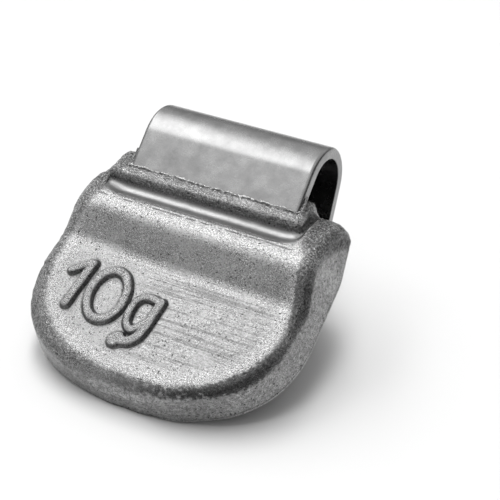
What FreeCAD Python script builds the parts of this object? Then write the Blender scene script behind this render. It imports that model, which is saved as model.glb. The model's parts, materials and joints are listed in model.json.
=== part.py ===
"""Clip-on wheel balance weight: a cast zinc body with a folded spring-steel clip cast into its top.

Both pieces are drawn in the body's own axes: X across, Y into the thickness from the flat face,
Z up along the face from the valley above it. At the end they are laid down together, as the
weight comes to rest on the back edge of its body and the tail of its clip.
"""
import FreeCAD, Part
import math
import os

Vector = FreeCAD.Vector

# Clip: one strip of spring steel, folded over the edge of a rim
clip_width = 14.0
sheet = 0.86
bend_inner_radius = 2.2
leg_spread_deg = 11.0
tang_length = 8.75
rear_leg_length = 7.35
tail_bend_inner_radius = 1.6
tail_turn_deg = 32.0
tail_length = 2.3
tail_corner_radius = 1.75

# Where the clip's bend lies over the body, and how far the clip leans forward over the face
bend_axis_behind_face = 1.46
bend_axis_above_top = 1.9
clip_lean_deg = 25.6

# Cast body: outline seen square to the flat face, at its back
half_width = 11.0
right_corner_radius = 7.5
left_corner_radius = 5.9
bottom_below_valley = 9.35
bottom_radius = 21.0
side_lean_deg = 3.7
top_above_valley = 8.7
upper_corner_radius = 1.75
draft_deg = 14.0

# The drafted blank reaches this share of the bulge's height in front of the face
blank_reach_share = 1.1

# Cast body: section across the thickness, from the face up over the bulge and down the back
thickness = 3.4
valley_radius = 1.7
bulge_height = 1.42
bulge_above_valley = 2.98
bulge_radius = 1.9
shoulder_height = 0.66
shoulder_below_top = 2.66
shoulder_radius = 2.6
crown_depth = 0.8
crown_below_top = 0.3
crown_radius = 1.4
back_top_depth = 1.9
back_top_below_top = 0.04
back_top_radius = 0.35
back_knee_below_top = 4.3
back_knee_radius = 2.6
front_edge_radius = 1.1
back_edge_radius = 0.35

# Collar of zinc round the clip's front leg, placed in from the leg's outer side and down from its bend
collar_side_wall = 1.0
collar_front_wall = 0.68
collar_edge_down = 3.7
collar_crest_in = 0.73
collar_crest_down = 1.75
collar_peak_in = 1.38
collar_peak_down = 1.44
collar_back_in = 2.65
collar_back_down = 2.04
collar_root_down = 6.2
collar_front_height = 2.5
collar_lip_radius = 0.35
collar_crest_radius = 0.45
collar_end_radius = 0.6

# A corner's rounding takes at most this share of the shorter side beside it
rounding_share = 0.48
# Points nearer than this are one point
same_point = 1e-6
same_corner = 1e-4


def step(length, degrees):
    """A step in the YZ plane; 0 degrees points along +Y and 90 along +Z."""
    angle = math.radians(degrees)
    return Vector(0, length * math.cos(angle), length * math.sin(angle))


def rounded_loop(corners):
    """A closed wire through (point, radius) corners, each corner rounded by a tangent arc."""
    arcs = []
    for i, (point, radius) in enumerate(corners):
        before = corners[i - 1][0] - point
        after = corners[(i + 1) % len(corners)][0] - point
        room = rounding_share * min(before.Length, after.Length)
        before.normalize()
        after.normalize()
        half_angle = before.getAngle(after) / 2
        reach = min(radius / math.tan(half_angle), room)
        fitted = reach * math.tan(half_angle)
        inward = (before + after).normalize()
        nearest = point + inward * (fitted / math.sin(half_angle) - fitted)
        arcs.append((point + before * reach, nearest, point + after * reach))
    edges = []
    for i, (start, nearest, end) in enumerate(arcs):
        if start.distanceToPoint(end) > same_point:
            edges.append(Part.Arc(start, nearest, end).toShape())
        following = arcs[(i + 1) % len(arcs)][0]
        if end.distanceToPoint(following) > same_point:
            edges.append(Part.LineSegment(end, following).toShape())
    return Part.Wire(edges)


def across(wire, half):
    """Fills a section in the YZ plane and extrudes it to both sides of the middle."""
    face = Part.Face(wire)
    face.translate(Vector(-half, 0, 0))
    return face.extrude(Vector(2 * half, 0, 0))


class Strip:
    """A strip of sheet followed along its outer side, one run or bend at a time."""

    def __init__(self, point, heading):
        self.point = point
        self.heading = heading
        self.outer = []
        self.inner = []

    def to_inner(self):
        """The step through the sheet, from its outer side to its inner side."""
        return step(sheet, self.heading - 90)

    def run(self, length):
        """Goes straight on."""
        end = self.point + step(length, self.heading)
        self.outer.append(Part.LineSegment(self.point, end).toShape())
        self.inner.append(Part.LineSegment(self.point + self.to_inner(), end + self.to_inner()).toShape())
        self.point = end

    def bend(self, inner_radius, turn):
        """Turns to the inner side for a positive turn and to the outer side for a negative one."""
        side = 1 if turn > 0 else -1
        outer_radius = inner_radius + (sheet if turn > 0 else 0)
        centre = self.point + step(side * outer_radius, self.heading - 90)
        spokes = [step(side, self.heading + 90 - share * turn) for share in (0, 0.5, 1)]
        self.outer.append(Part.Arc(*[centre + spoke * outer_radius for spoke in spokes]).toShape())
        inner = outer_radius - side * sheet
        self.inner.append(Part.Arc(*[centre + spoke * inner for spoke in spokes]).toShape())
        self.point = centre + spokes[2] * outer_radius
        self.heading -= turn

    def wire(self):
        """Closes the two sides at the strip's ends."""
        first = Part.LineSegment(self.inner[0].Vertexes[0].Point, self.outer[0].Vertexes[0].Point)
        last = Part.LineSegment(self.point, self.point + self.to_inner())
        loop = self.outer + self.inner + [first.toShape(), last.toShape()]
        return Part.Wire(Part.__sortEdges__(loop))


bend_axis = Vector(0, bend_axis_behind_face, top_above_valley + bend_axis_above_top)
leg_heading = 90 + clip_lean_deg - leg_spread_deg
leg_top = bend_axis + step(bend_inner_radius + sheet, leg_heading + 90)


def make_clip():
    """The folded strip: tang in the casting, bend over the rim, rear leg and turned-out tail."""
    strip = Strip(leg_top - step(tang_length, leg_heading), leg_heading)
    strip.run(tang_length)
    strip.bend(bend_inner_radius, 180 - 2 * leg_spread_deg)
    strip.run(rear_leg_length)
    strip.bend(tail_bend_inner_radius, -tail_turn_deg)
    strip.run(tail_length)
    clip = across(strip.wire(), clip_width / 2)
    tail_end = [strip.point, strip.point + strip.to_inner()]
    corners = []
    for edge in clip.Edges:
        ends = [Vector(0, vertex.Y, vertex.Z) for vertex in edge.Vertexes]
        if edge.Length < 2 * sheet and all(min(end.distanceToPoint(t) for t in tail_end) < same_corner for end in ends):
            corners.append(edge)
    return clip.makeFillet(tail_corner_radius, corners), tail_end


def outline_side(side, corner_radius, inset, depth):
    """Points up one side of the outline, right for side 1 and left for -1, from the bottom to the top."""
    lean = math.radians(side_lean_deg)
    bottom_z = bottom_radius - bottom_below_valley
    corner_x = half_width - corner_radius
    corner_z = bottom_z - math.sqrt((bottom_radius - corner_radius) ** 2 - corner_x ** 2)
    foot_turn = math.atan2(corner_x, bottom_z - corner_z) - math.pi / 2
    top_z = top_above_valley - upper_corner_radius
    narrowing = (corner_radius - upper_corner_radius) / math.cos(lean) - (top_z - corner_z) * math.tan(lean)
    top_x = corner_x + narrowing

    def on(centre_x, centre_z, radius, angle):
        return Vector(side * (centre_x + (radius - inset) * math.cos(angle)), depth,
                      centre_z + (radius - inset) * math.sin(angle))

    return [
        on(0, bottom_z, bottom_radius, foot_turn),
        on(corner_x, corner_z, corner_radius, (lean + foot_turn) / 2),
        on(corner_x, corner_z, corner_radius, lean),
        on(top_x, top_z, upper_corner_radius, lean),
        on(top_x, top_z, upper_corner_radius, lean / 2 + math.pi / 4),
        on(top_x, top_z, upper_corner_radius, math.pi / 2),
    ]


def outline(inset, depth):
    """The body's outline in a plane parallel to its face, drawn in by inset all round.

    A shallow bottom arc runs into two large lower corners, the left one tighter, two sides that
    lean in, two small upper corners and a straight top.
    """
    right = outline_side(1, right_corner_radius, inset, depth)
    left = outline_side(-1, left_corner_radius, inset, depth)
    lowest = Vector(0, depth, inset - bottom_below_valley)
    curves = [
        Part.Arc(left[0], lowest, right[0]),
        Part.Arc(right[0], right[1], right[2]),
        Part.LineSegment(right[2], right[3]),
        Part.Arc(right[3], right[4], right[5]),
        Part.LineSegment(right[5], left[5]),
        Part.Arc(left[5], left[4], left[3]),
        Part.LineSegment(left[3], left[2]),
        Part.Arc(left[2], left[1], left[0]),
    ]
    return Part.Wire([curve.toShape() for curve in curves])


def face_kind(face):
    """front, back or wall, by where the face looks."""
    first_u, last_u, first_v, last_v = face.ParameterRange
    normal = face.normalAt((first_u + last_u) / 2, (first_v + last_v) / 2)
    if abs(normal.x) > same_corner:
        return "wall"
    if normal.y > 0.3:
        return "back"
    if normal.y < -0.3 or normal.z > 0.5:
        return "front"
    return "wall"


def rim_edges(shape, kind):
    """The edges between the walls and the faces of one kind."""
    sides = {}
    for face in shape.Faces:
        for edge in face.Edges:
            sides.setdefault(edge.hashCode(), (edge, []))[1].append(face_kind(face))
    return [edge for edge, kinds in sides.values() if "wall" in kinds and kind in kinds]


def make_slab():
    """The casting without its collar: the drafted outline cut to the section, with rounded edges."""
    front_reach = blank_reach_share * bulge_height
    draw = math.tan(math.radians(draft_deg)) * (thickness + front_reach)
    blank = Part.makeLoft([outline(draw, -front_reach), outline(0, thickness)], True, True)
    low = -bottom_below_valley - thickness
    section = rounded_loop([
        (Vector(0, 0, low), 0),
        (Vector(0, 0, 0), valley_radius),
        (Vector(0, -bulge_height, bulge_above_valley), bulge_radius),
        (Vector(0, -shoulder_height, top_above_valley - shoulder_below_top), shoulder_radius),
        (Vector(0, crown_depth, top_above_valley - crown_below_top), crown_radius),
        (Vector(0, back_top_depth, top_above_valley - back_top_below_top), back_top_radius),
        (Vector(0, thickness, top_above_valley - back_knee_below_top), back_knee_radius),
        (Vector(0, thickness, low), 0),
    ])
    slab = blank.common(across(section, 2 * half_width))
    slab = slab.makeFillet(front_edge_radius, rim_edges(slab, "front"))
    slab = slab.makeFillet(back_edge_radius, rim_edges(slab, "back"))
    return slab


def beside_leg(inward, down):
    """A point in from the outer side of the clip's front leg and down from where its bend starts."""
    return leg_top + step(inward, leg_heading - 90) - step(down, leg_heading)


def make_collar():
    """The zinc drawn up round the front leg, higher behind the leg than in front of it."""
    lip = beside_leg(-collar_front_wall, collar_edge_down)
    section = rounded_loop([
        (lip, collar_lip_radius),
        (beside_leg(collar_crest_in, collar_crest_down), collar_crest_radius),
        (beside_leg(collar_peak_in, collar_peak_down), collar_crest_radius),
        (beside_leg(collar_back_in, collar_back_down), 0),
        (beside_leg(collar_back_in, collar_root_down), 0),
        (lip + step(collar_front_height, clip_lean_deg - 90), 0),
    ])
    half = clip_width / 2 + collar_side_wall
    collar = across(section, half)
    ends = [edge for edge in collar.Edges if abs(abs(edge.CenterOfMass.x) - half) < same_point]
    return collar.makeFillet(collar_end_radius, ends)


def make_body(clip):
    """Slab and collar in one casting, with the clip's leg cast into it."""
    return make_slab().fuse(make_collar()).cut(clip)


def lay_down(shapes, tail_end):
    """Turns and moves the pieces so that they rest on the body's back edge and the clip's tail."""
    draft = math.radians(draft_deg)
    edge_y = thickness - back_edge_radius
    edge_z = -bottom_below_valley + back_edge_radius * (1 + math.sin(draft)) / math.cos(draft)
    leans = []
    for point in tail_end:
        span = math.hypot(point.y - edge_y, point.z - edge_z)
        leans.append(math.atan2(point.y - edge_y, point.z - edge_z) - math.asin(back_edge_radius / span))
    turn = math.degrees(max(leans)) - 90
    laid = []
    for shape in shapes:
        shape = shape.copy()
        shape.rotate(Vector(0, 0, 0), Vector(1, 0, 0), turn)
        laid.append(shape)
    box = Part.makeCompound(laid).optimalBoundingBox(False, False)
    for shape in laid:
        shape.translate(Vector(0, -(box.YMin + box.YMax) / 2, -box.ZMin))
    return laid


os.makedirs("parts", exist_ok=True)
clip, tail_end = make_clip()
body = make_body(clip)
body, clip = lay_down([body, clip], tail_end)
body.exportStep("parts/cast_body.step")
clip.exportStep("parts/spring_clip.step")
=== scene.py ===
"""Looks of a clip-on wheel balance weight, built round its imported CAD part.

The weight is a cast zinc body with a folded spring-steel clip cast into its top, and the raised
value on its face. Shapes are worked out in millimetres in the body's own axes, across, into the
thickness from the flat face, and up along the face, and placed in the part's frame in metres.
"""
import json
import logging
import math
from collections.abc import Callable
from dataclasses import dataclass
from enum import Enum

import bpy
import numpy as np
from mathutils import Matrix, Vector


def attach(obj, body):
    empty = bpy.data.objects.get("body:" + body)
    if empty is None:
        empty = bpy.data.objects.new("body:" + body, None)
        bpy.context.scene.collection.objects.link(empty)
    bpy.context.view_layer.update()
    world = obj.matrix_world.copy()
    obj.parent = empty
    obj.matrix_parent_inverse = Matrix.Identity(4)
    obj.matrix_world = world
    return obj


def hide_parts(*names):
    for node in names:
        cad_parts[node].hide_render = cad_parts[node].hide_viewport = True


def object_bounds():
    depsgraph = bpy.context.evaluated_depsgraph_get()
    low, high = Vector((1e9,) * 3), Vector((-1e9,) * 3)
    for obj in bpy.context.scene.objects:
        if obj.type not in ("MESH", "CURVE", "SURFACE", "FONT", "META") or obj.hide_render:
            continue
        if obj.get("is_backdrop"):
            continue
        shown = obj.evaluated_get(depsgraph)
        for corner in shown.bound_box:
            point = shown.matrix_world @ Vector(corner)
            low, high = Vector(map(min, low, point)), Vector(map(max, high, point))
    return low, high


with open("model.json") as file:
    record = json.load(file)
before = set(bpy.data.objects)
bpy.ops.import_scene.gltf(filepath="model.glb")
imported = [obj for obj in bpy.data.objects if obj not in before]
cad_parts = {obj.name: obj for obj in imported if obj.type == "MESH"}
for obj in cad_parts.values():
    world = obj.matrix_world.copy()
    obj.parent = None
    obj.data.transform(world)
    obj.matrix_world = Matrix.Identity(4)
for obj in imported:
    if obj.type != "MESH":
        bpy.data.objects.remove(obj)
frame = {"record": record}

log = logging.getLogger("wheel_weight")

MM = 0.001
ROOT_BODY = "root"
LEG_TOP = (-1.501, 9.829)

Pair = tuple[float, float]
Triple = tuple[float, float, float]
Field = Callable[[np.ndarray], np.ndarray]


class Slot(Enum):
    """The record's material slots."""

    CAST_ZINC = "cast_zinc"
    SPRING_STEEL = "spring_steel"


class Mask(Enum):
    """Point attributes that the finishes read."""

    GRANULAR = "granular"
    WEAR_AND_HIGHLIGHT = "wear_and_highlight"
    HOLLOW_PAINTED_SHADE = "hollow_painted_shade"
    COMBED = "combed"
    RIM = "rim"
    RIM_PAINTED_SHADE = "rim_painted_shade"
    SEAM = "seam"
    INNER_PAINTED_SHADE = "inner"
    SKIN = "wall_skin_and_shade"


def unit(vector: np.ndarray) -> np.ndarray:
    """Scales a vector to length one."""
    return vector / np.linalg.norm(vector)


def smooth_step(low: float, high: float, value: np.ndarray) -> np.ndarray:
    """Goes smoothly from 0 where the value is low to 1 where it is high."""
    share = np.clip((value - low) / (high - low), 0, 1)
    return share * share * (3 - 2 * share)


def soft_max(first: np.ndarray, second: np.ndarray, width: float) -> np.ndarray:
    """The larger of two distances, with a smooth change over where they are within width."""
    blend = np.maximum(width - np.abs(first - second), 0.0)
    return np.maximum(first, second) + blend * blend / (4 * width)


def soft_min(first: np.ndarray, second: np.ndarray, width: float) -> np.ndarray:
    """The smaller of two distances, with a smooth change over where they are within width."""
    return -soft_max(-first, -second, width)


def rounded_edge(first: np.ndarray, second: np.ndarray, radius: float) -> np.ndarray:
    """Where two solids overlap, with the edge between their surfaces rounded to a radius."""
    corner = np.hypot(np.maximum(first + radius, 0), np.maximum(second + radius, 0))
    return np.minimum(np.maximum(first, second), -radius) + corner


@dataclass(frozen=True)
class BodyAxes:
    """The body's own axes in the part's frame, in millimetres.

    Attributes:
        origin: Point of the flat face where the valley under the bulge starts.
        depth: Direction from the face into the thickness.
        up: Direction up along the face.
    """

    origin: np.ndarray
    depth: np.ndarray
    up: np.ndarray

    @classmethod
    def from_record(cls, record: dict, thickness: float, seat_below_valley: float) -> "BodyAxes":
        """Finds the axes from the mount on the flat back.

        Args:
            record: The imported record.
            thickness: Depth of the flat back behind the face.
            seat_below_valley: How far the mount's point lies below the valley.

        Returns:
            The axes.
        """
        seat = next(mount for mount in record["mounts"] if mount["name"] == "rim_seat")
        depth = unit(np.array(seat["axis"], float))
        up = np.cross((1.0, 0.0, 0.0), depth)
        origin = np.array(seat["pos_m"], float) / MM - thickness * depth + seat_below_valley * up
        return cls(origin, depth, up)

    def matrix(self) -> Matrix:
        """Turns millimetres in the body's axes into metres in the part's frame."""
        columns = np.column_stack([(1.0, 0.0, 0.0), self.depth, self.up, self.origin])
        return Matrix(np.vstack([columns * MM, (0, 0, 0, 1)]).tolist())

    def turn(self) -> float:
        """Angle about X from the part's frame to the body's axes."""
        return math.atan2(self.depth[2], self.depth[1])


class LatticeNoise:
    """Smooth noise from random numbers on a lattice, the same on every run."""

    SIDE = 48

    def __init__(self, seed: int) -> None:
        """Draws the lattice from a seed."""
        self.values = np.random.default_rng(seed).uniform(-1, 1, (self.SIDE,) * 3)

    def at(self, points: np.ndarray, period: float) -> np.ndarray:
        """Evaluates the noise.

        Args:
            points: Places, one a row.
            period: Distance between lattice points.

        Returns:
            Numbers from -1 to 1, one a place.
        """
        scaled = points / period + self.SIDE * 8
        low = np.floor(scaled).astype(int)
        share = scaled - low
        share = share * share * (3 - 2 * share)
        total = np.zeros(len(points))
        for corner in np.ndindex(2, 2, 2):
            weight = np.prod(np.where(corner, share, 1 - share), axis=1)
            cell = (low + corner) % self.SIDE
            total += weight * self.values[cell[:, 0], cell[:, 1], cell[:, 2]]
        return total


@dataclass
class SurfaceNet:
    """A mesh over the zero surface of a distance field, which gives the distance of points, one a row.

    Attributes:
        spacing: Distance between the grid's points.
        low: Lowest corner of the grid.
        high: Highest corner of the grid.
        relaxing_rounds: Rounds that even out the mesh along the surface.
    """

    spacing: float
    low: Triple
    high: Triple
    relaxing_rounds: int = 4

    def grid(self, distance: Field) -> np.ndarray:
        """Evaluates the field on the grid, one slice at a time.

        Args:
            distance: The field.

        Returns:
            The distances on the grid.
        """
        sides = [np.arange(low, high, self.spacing) for low, high in zip(self.low, self.high)]
        second, third = (side.ravel() for side in np.meshgrid(sides[1], sides[2], indexing="ij"))
        slices = [distance(np.column_stack([np.full(second.size, x), second, third])) for x in sides[0]]
        return np.array(slices).reshape([len(side) for side in sides])

    def build(self, distance: Field) -> tuple[np.ndarray, np.ndarray]:
        """Makes the mesh.

        Args:
            distance: The field.

        Returns:
            The mesh's points and its four-sided faces.
        """
        values = self.grid(distance)
        cells = np.array(values.shape) - 1
        places = np.zeros((*cells, 3))
        crossings = np.zeros(cells)
        edges = []
        for axis in range(3):
            before = np.take(values, range(cells[axis]), axis)
            after = np.take(values, range(1, cells[axis] + 1), axis)
            crossed = (before < 0) != (after < 0)
            share = np.where(crossed, before / np.where(crossed, before - after, 1), 0)
            edges.append((crossed, before < 0))
            for shift in np.ndindex(2, 2):
                offset = list(shift)
                offset.insert(axis, 0)
                window = tuple(slice(o, o + n) for o, n in zip(offset, cells))
                hit = crossed[window]
                crossings += hit
                for part in range(3):
                    along = share[window] if part == axis else offset[part]
                    places[..., part] += hit * along
        used = crossings > 0
        number = np.full(cells, -1)
        number[used] = np.arange(used.sum())
        corner = np.argwhere(used)
        points = (corner + places[used] / crossings[used][:, None]) * self.spacing + self.low
        faces = []
        for axis, (crossed, inside) in enumerate(edges):
            at = np.argwhere(crossed)
            second, third = (axis + 1) % 3, (axis + 2) % 3
            ring = []
            for shift in ((-1, -1), (0, -1), (0, 0), (-1, 0)):
                cell = at.copy()
                cell[:, second] += shift[0]
                cell[:, third] += shift[1]
                ring.append(number[tuple(cell.T)])
            quads = np.column_stack(ring)
            outward = inside[tuple(at.T)]
            faces.append(np.where(outward[:, None], quads, quads[:, ::-1]))
        quads = np.vstack(faces)
        for _ in range(self.relaxing_rounds):
            points = self.settled(self.relaxed(points, quads), distance)
        return points, quads

    @staticmethod
    def relaxed(points: np.ndarray, quads: np.ndarray) -> np.ndarray:
        """Moves each point halfway to the middle of its neighbours.

        Args:
            points: The mesh's points.
            quads: Its faces by point number.

        Returns:
            The moved points.
        """
        total = np.zeros_like(points)
        count = np.zeros(len(points))
        for first, second in ((0, 1), (1, 2), (2, 3), (3, 0)):
            for here, there in ((first, second), (second, first)):
                for part in range(3):
                    total[:, part] += np.bincount(quads[:, here], points[quads[:, there], part], len(points))
                count += np.bincount(quads[:, here], minlength=len(points))
        return 0.5 * points + 0.5 * total / count[:, None]

    @staticmethod
    def gradient(points: np.ndarray, distance: Field, reach: float = 0.01) -> np.ndarray:
        """Slope of the field, by central differences.

        Args:
            points: Where it is taken.
            distance: The field.
            reach: Half the length that it is taken over.

        Returns:
            The slope, one a row.
        """
        slope = []
        for shift in np.eye(3) * reach:
            slope.append((distance(points + shift) - distance(points - shift)) / (2 * reach))
        return np.column_stack(slope)

    @classmethod
    def settled(cls, points: np.ndarray, distance: Field) -> np.ndarray:
        """Moves each point along the field's slope back onto the surface.

        Args:
            points: The mesh's points.
            distance: The field.

        Returns:
            The moved points.
        """
        slope = cls.gradient(points, distance)
        steepness = np.maximum((slope * slope).sum(1), 0.1)
        return points - slope * (distance(points) / steepness)[:, None]


class Socket:
    """A node's output, in a form that arithmetic can be written with."""

    def __init__(self, tree: "NodeMaker", output: bpy.types.NodeSocket) -> None:
        """Wraps an output of a node in a tree."""
        self.tree = tree
        self.output = output

    def _with(self, operation: str, *others: "Socket | float", swapped: bool = False) -> "Socket":
        """Adds a Math or Vector Math node on this value and others.

        Args:
            operation: The node's operation.
            others: Further operands.
            swapped: Whether this value comes after the first of the others.

        Returns:
            The node's result.
        """
        operands = [self, *others]
        if swapped:
            operands[:2] = operands[1::-1]
        vector = self.output.type == "VECTOR"
        if vector and operation == "MULTIPLY" and not isinstance(others[0], (Socket, tuple)):
            scaled = {0: self, "Scale": others[0]}
            return self.tree.out(self.tree.add("ShaderNodeVectorMath", scaled, {"operation": "SCALE"}))
        kind = "ShaderNodeVectorMath" if vector else "ShaderNodeMath"
        node = self.tree.add(kind, dict(enumerate(operands)), {"operation": operation})
        return self.tree.out(node, "Value" if operation == "DOT_PRODUCT" else 0)

    def __add__(self, other: "Socket | float") -> "Socket":
        """Adds."""
        return self._with("ADD", other)

    __radd__ = __add__

    def __sub__(self, other: "Socket | float") -> "Socket":
        """Takes away."""
        return self._with("SUBTRACT", other)

    def __rsub__(self, other: "Socket | float") -> "Socket":
        """Takes this value away from another."""
        return self._with("SUBTRACT", other, swapped=True)

    def __mul__(self, other: "Socket | float") -> "Socket":
        """Multiplies."""
        return self._with("MULTIPLY", other)

    __rmul__ = __mul__

    def __truediv__(self, other: "Socket | float") -> "Socket":
        """Divides."""
        return self._with("DIVIDE", other)

    def __rtruediv__(self, other: "Socket | float") -> "Socket":
        """Divides another by this value."""
        return self._with("DIVIDE", other, swapped=True)

    def sine(self) -> "Socket":
        """Sine."""
        return self._with("SINE")

    def cosine(self) -> "Socket":
        """Cosine."""
        return self._with("COSINE")

    def root(self) -> "Socket":
        """Square root."""
        return self._with("SQRT")

    def size(self) -> "Socket":
        """Value without its sign."""
        return self._with("ABSOLUTE")

    def sign(self) -> "Socket":
        """Sign of the value."""
        return self._with("SIGN")

    def least(self, other: "Socket | float") -> "Socket":
        """The smaller of the two."""
        return self._with("MINIMUM", other)

    def most(self, other: "Socket | float") -> "Socket":
        """The larger of the two."""
        return self._with("MAXIMUM", other)

    def dot(self, direction: "Triple | np.ndarray") -> "Socket":
        """Share of a vector along a direction."""
        return self._with("DOT_PRODUCT", tuple(direction))

    def between(self, low: "Socket | float", high: "Socket | float") -> "Socket":
        """Held between two values."""
        return self.most(low).least(high)

    def ramp(self, low: float, high: float, start: float = 0.0, end: float = 1.0) -> "Socket":
        """Goes smoothly from one number to another.

        Args:
            low: Value where it starts.
            high: Value where it ends.
            start: The number that it starts at.
            end: The number that it ends at.

        Returns:
            The number at this value.
        """
        values = {"Value": self, "From Min": low, "From Max": high, "To Min": start, "To Max": end}
        settings = {"interpolation_type": "SMOOTHSTEP"}
        return self.tree.out(self.tree.add("ShaderNodeMapRange", values, settings))


class NodeMaker:
    """Makes the nodes of one tree."""

    def __init__(self, tree: bpy.types.NodeTree) -> None:
        """Starts with an empty tree."""
        self.tree = tree
        tree.nodes.clear()

    def add(self, kind: str, inputs: dict | None = None, settings: dict | None = None) -> bpy.types.Node:
        """Adds a node.

        Args:
            kind: The node's type.
            inputs: Values or links of its inputs, by name or number. A node stands for its first output.
            settings: The node's own settings, set first.

        Returns:
            The node.
        """
        node = self.tree.nodes.new(kind)
        for name, value in (settings or {}).items():
            setattr(node, name, value)
        for name, value in (inputs or {}).items():
            source = self.out(value) if isinstance(value, bpy.types.Node) else value
            if isinstance(source, Socket):
                self.tree.links.new(source.output, node.inputs[name])
            else:
                node.inputs[name].default_value = source
        return node

    def out(self, node: bpy.types.Node, name: str | int = 0) -> Socket:
        """One of a node's outputs, ready for arithmetic."""
        return Socket(self, node.outputs[name])


class ShaderMaker(NodeMaker):
    """Makes a material and the nodes of its surface."""

    def __init__(self, name: str) -> None:
        """Makes the material, with the object's own coordinates in millimetres.

        Args:
            name: Name of the material.
        """
        self.material = bpy.data.materials.new(name)
        self.material.use_nodes = True
        super().__init__(self.material.node_tree)
        self.place = self.out(self.add("ShaderNodeTexCoord"), "Object") * (1 / MM)

    def turned(self, angle: float, stretch: Triple) -> Socket:
        """The coordinates turned about X, then stretched along each turned axis."""
        turned = self.add("ShaderNodeMapping", {"Vector": self.place, "Rotation": (angle, 0.0, 0.0)})
        return self.out(self.add("ShaderNodeMapping", {"Vector": turned, "Scale": stretch}))

    def noise(self, place: Socket, scale: float, detail: float = 2.0, rough: float = 0.5) -> Socket:
        """Noise in the middle of 0 to 1.

        Args:
            place: Where it is read.
            scale: Cells a unit.
            detail: Finer layers added.
            rough: Share of each finer layer.

        Returns:
            The noise.
        """
        values = {"Vector": place, "Scale": scale, "Detail": detail, "Roughness": rough}
        return self.out(self.add("ShaderNodeTexNoise", values))

    def attribute(self, mask: Mask) -> Socket:
        """A point attribute of the mesh."""
        return self.out(self.add("ShaderNodeAttribute", settings={"attribute_name": mask.value}), "Fac")

    def bump(self, height: Socket, depth: float, below: Socket | None = None) -> Socket:
        """Relief on the surface.

        Args:
            height: Height from 0 to 1.
            depth: Depth of the relief in millimetres.
            below: Relief that this one lies on.

        Returns:
            The surface's direction.
        """
        values = {"Strength": 1.0, "Distance": depth * MM, "Height": height}
        if below is not None:
            values["Normal"] = below
        return self.out(self.add("ShaderNodeBump", values))

    def grey(self, value: Socket) -> Socket:
        """A neutral colour of that brightness."""
        return self.out(self.add("ShaderNodeCombineColor", {0: value, 1: value, 2: value}))

    def finish(self, inputs: dict) -> bpy.types.Material:
        """Ends the tree in one surface shader.

        Args:
            inputs: Values and links of the shader's inputs.

        Returns:
            The material.
        """
        shader = self.add("ShaderNodeBsdfPrincipled", inputs)
        self.add("ShaderNodeOutputMaterial", {"Surface": shader})
        return self.material


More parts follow.
